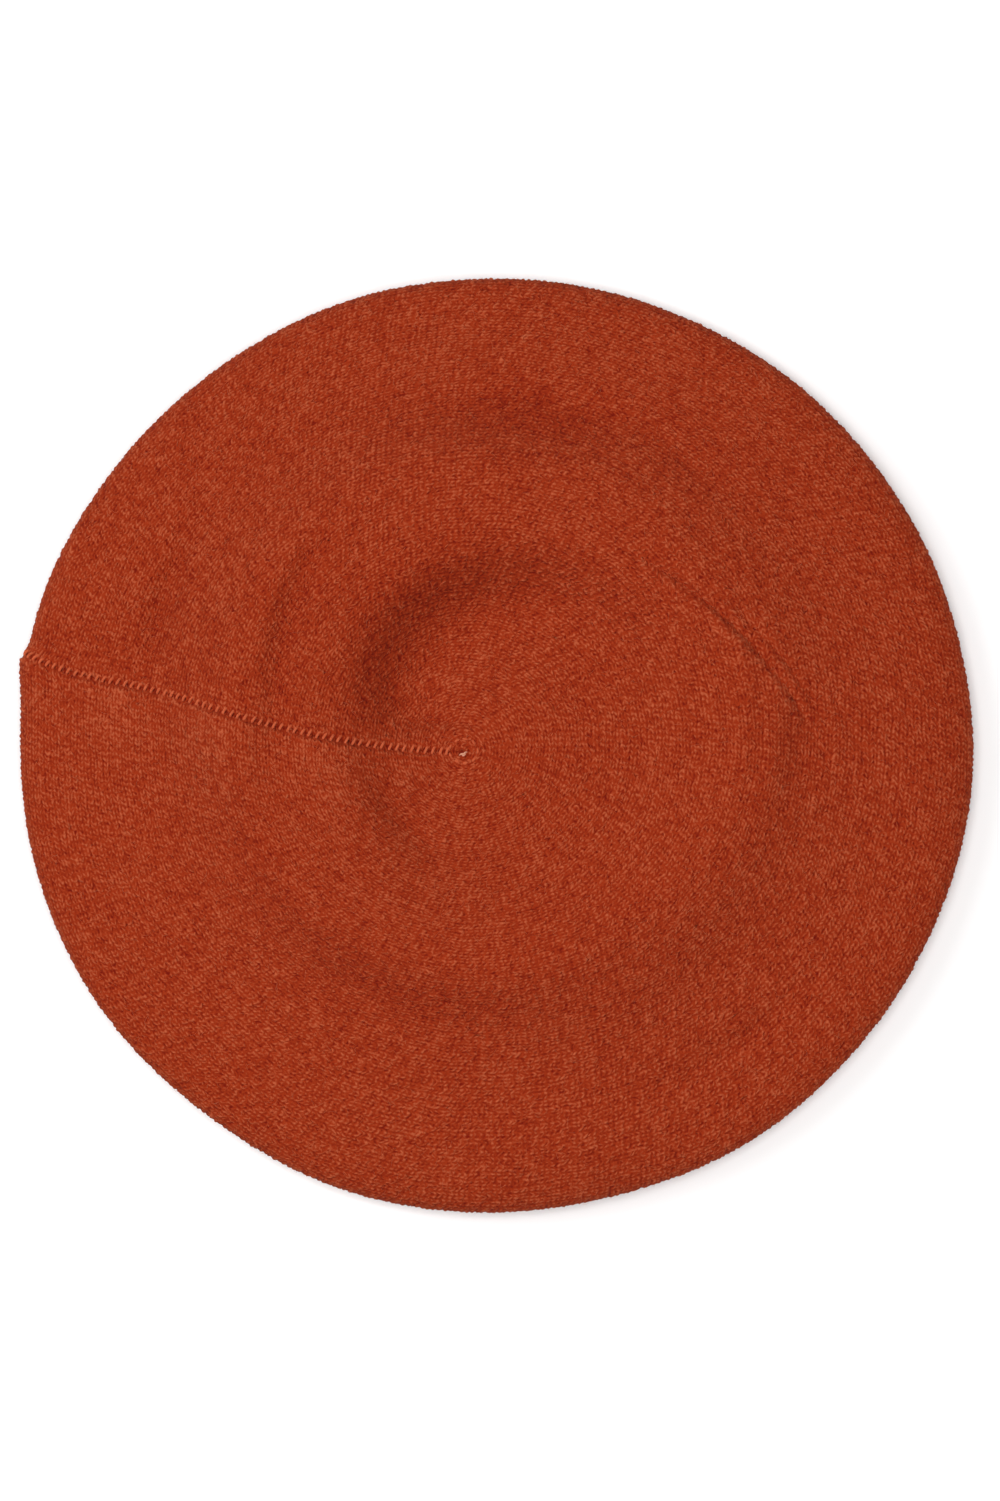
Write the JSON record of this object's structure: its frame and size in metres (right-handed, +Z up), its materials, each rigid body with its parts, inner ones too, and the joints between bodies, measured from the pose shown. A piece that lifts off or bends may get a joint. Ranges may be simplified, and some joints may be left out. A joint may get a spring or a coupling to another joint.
{
  "type": "beret",
  "caption": "Round flat knitted beret with a soft crown, a radial back seam gathered at the centre, and a doubled elastic headband round the head opening.",
  "frame": {"origin": "centre of the beret's footprint on the surface it rests on, crown up", "axes": "+Z up through the crown, -X towards the back with the radial seam and the care label, Y from side to side"},
  "size_m": [0.2862, 0.2811, 0.0328],
  "materials": {
    "wool_knit": "matte",
    "linking_yarn": "matte",
    "woven_elastic": "matte",
    "woven_label": "satin"
  },
  "bodies": {
    "beret": {"knitted_body": "wool_knit", "headband": "wool_knit", "elastic_tape": "woven_elastic", "elastic_joint_stitch": "woven_elastic", "band_linking_thread": "linking_yarn", "band_hem_stitch": "linking_yarn", "radial_seam_thread": "linking_yarn", "centre_gather_thread": "linking_yarn", "centre_knot": "linking_yarn", "care_label_stitch": "linking_yarn"},
    "label": {"care_label": "woven_label"}
  },
  "joints": [
    {"name": "label_flap", "type": "hinge", "parent": "beret", "child": "label", "pos_m": [-0.07995, 0.007, 0.019], "axis": [0, -1, 0], "range_deg": [0, 110]}
  ]
}
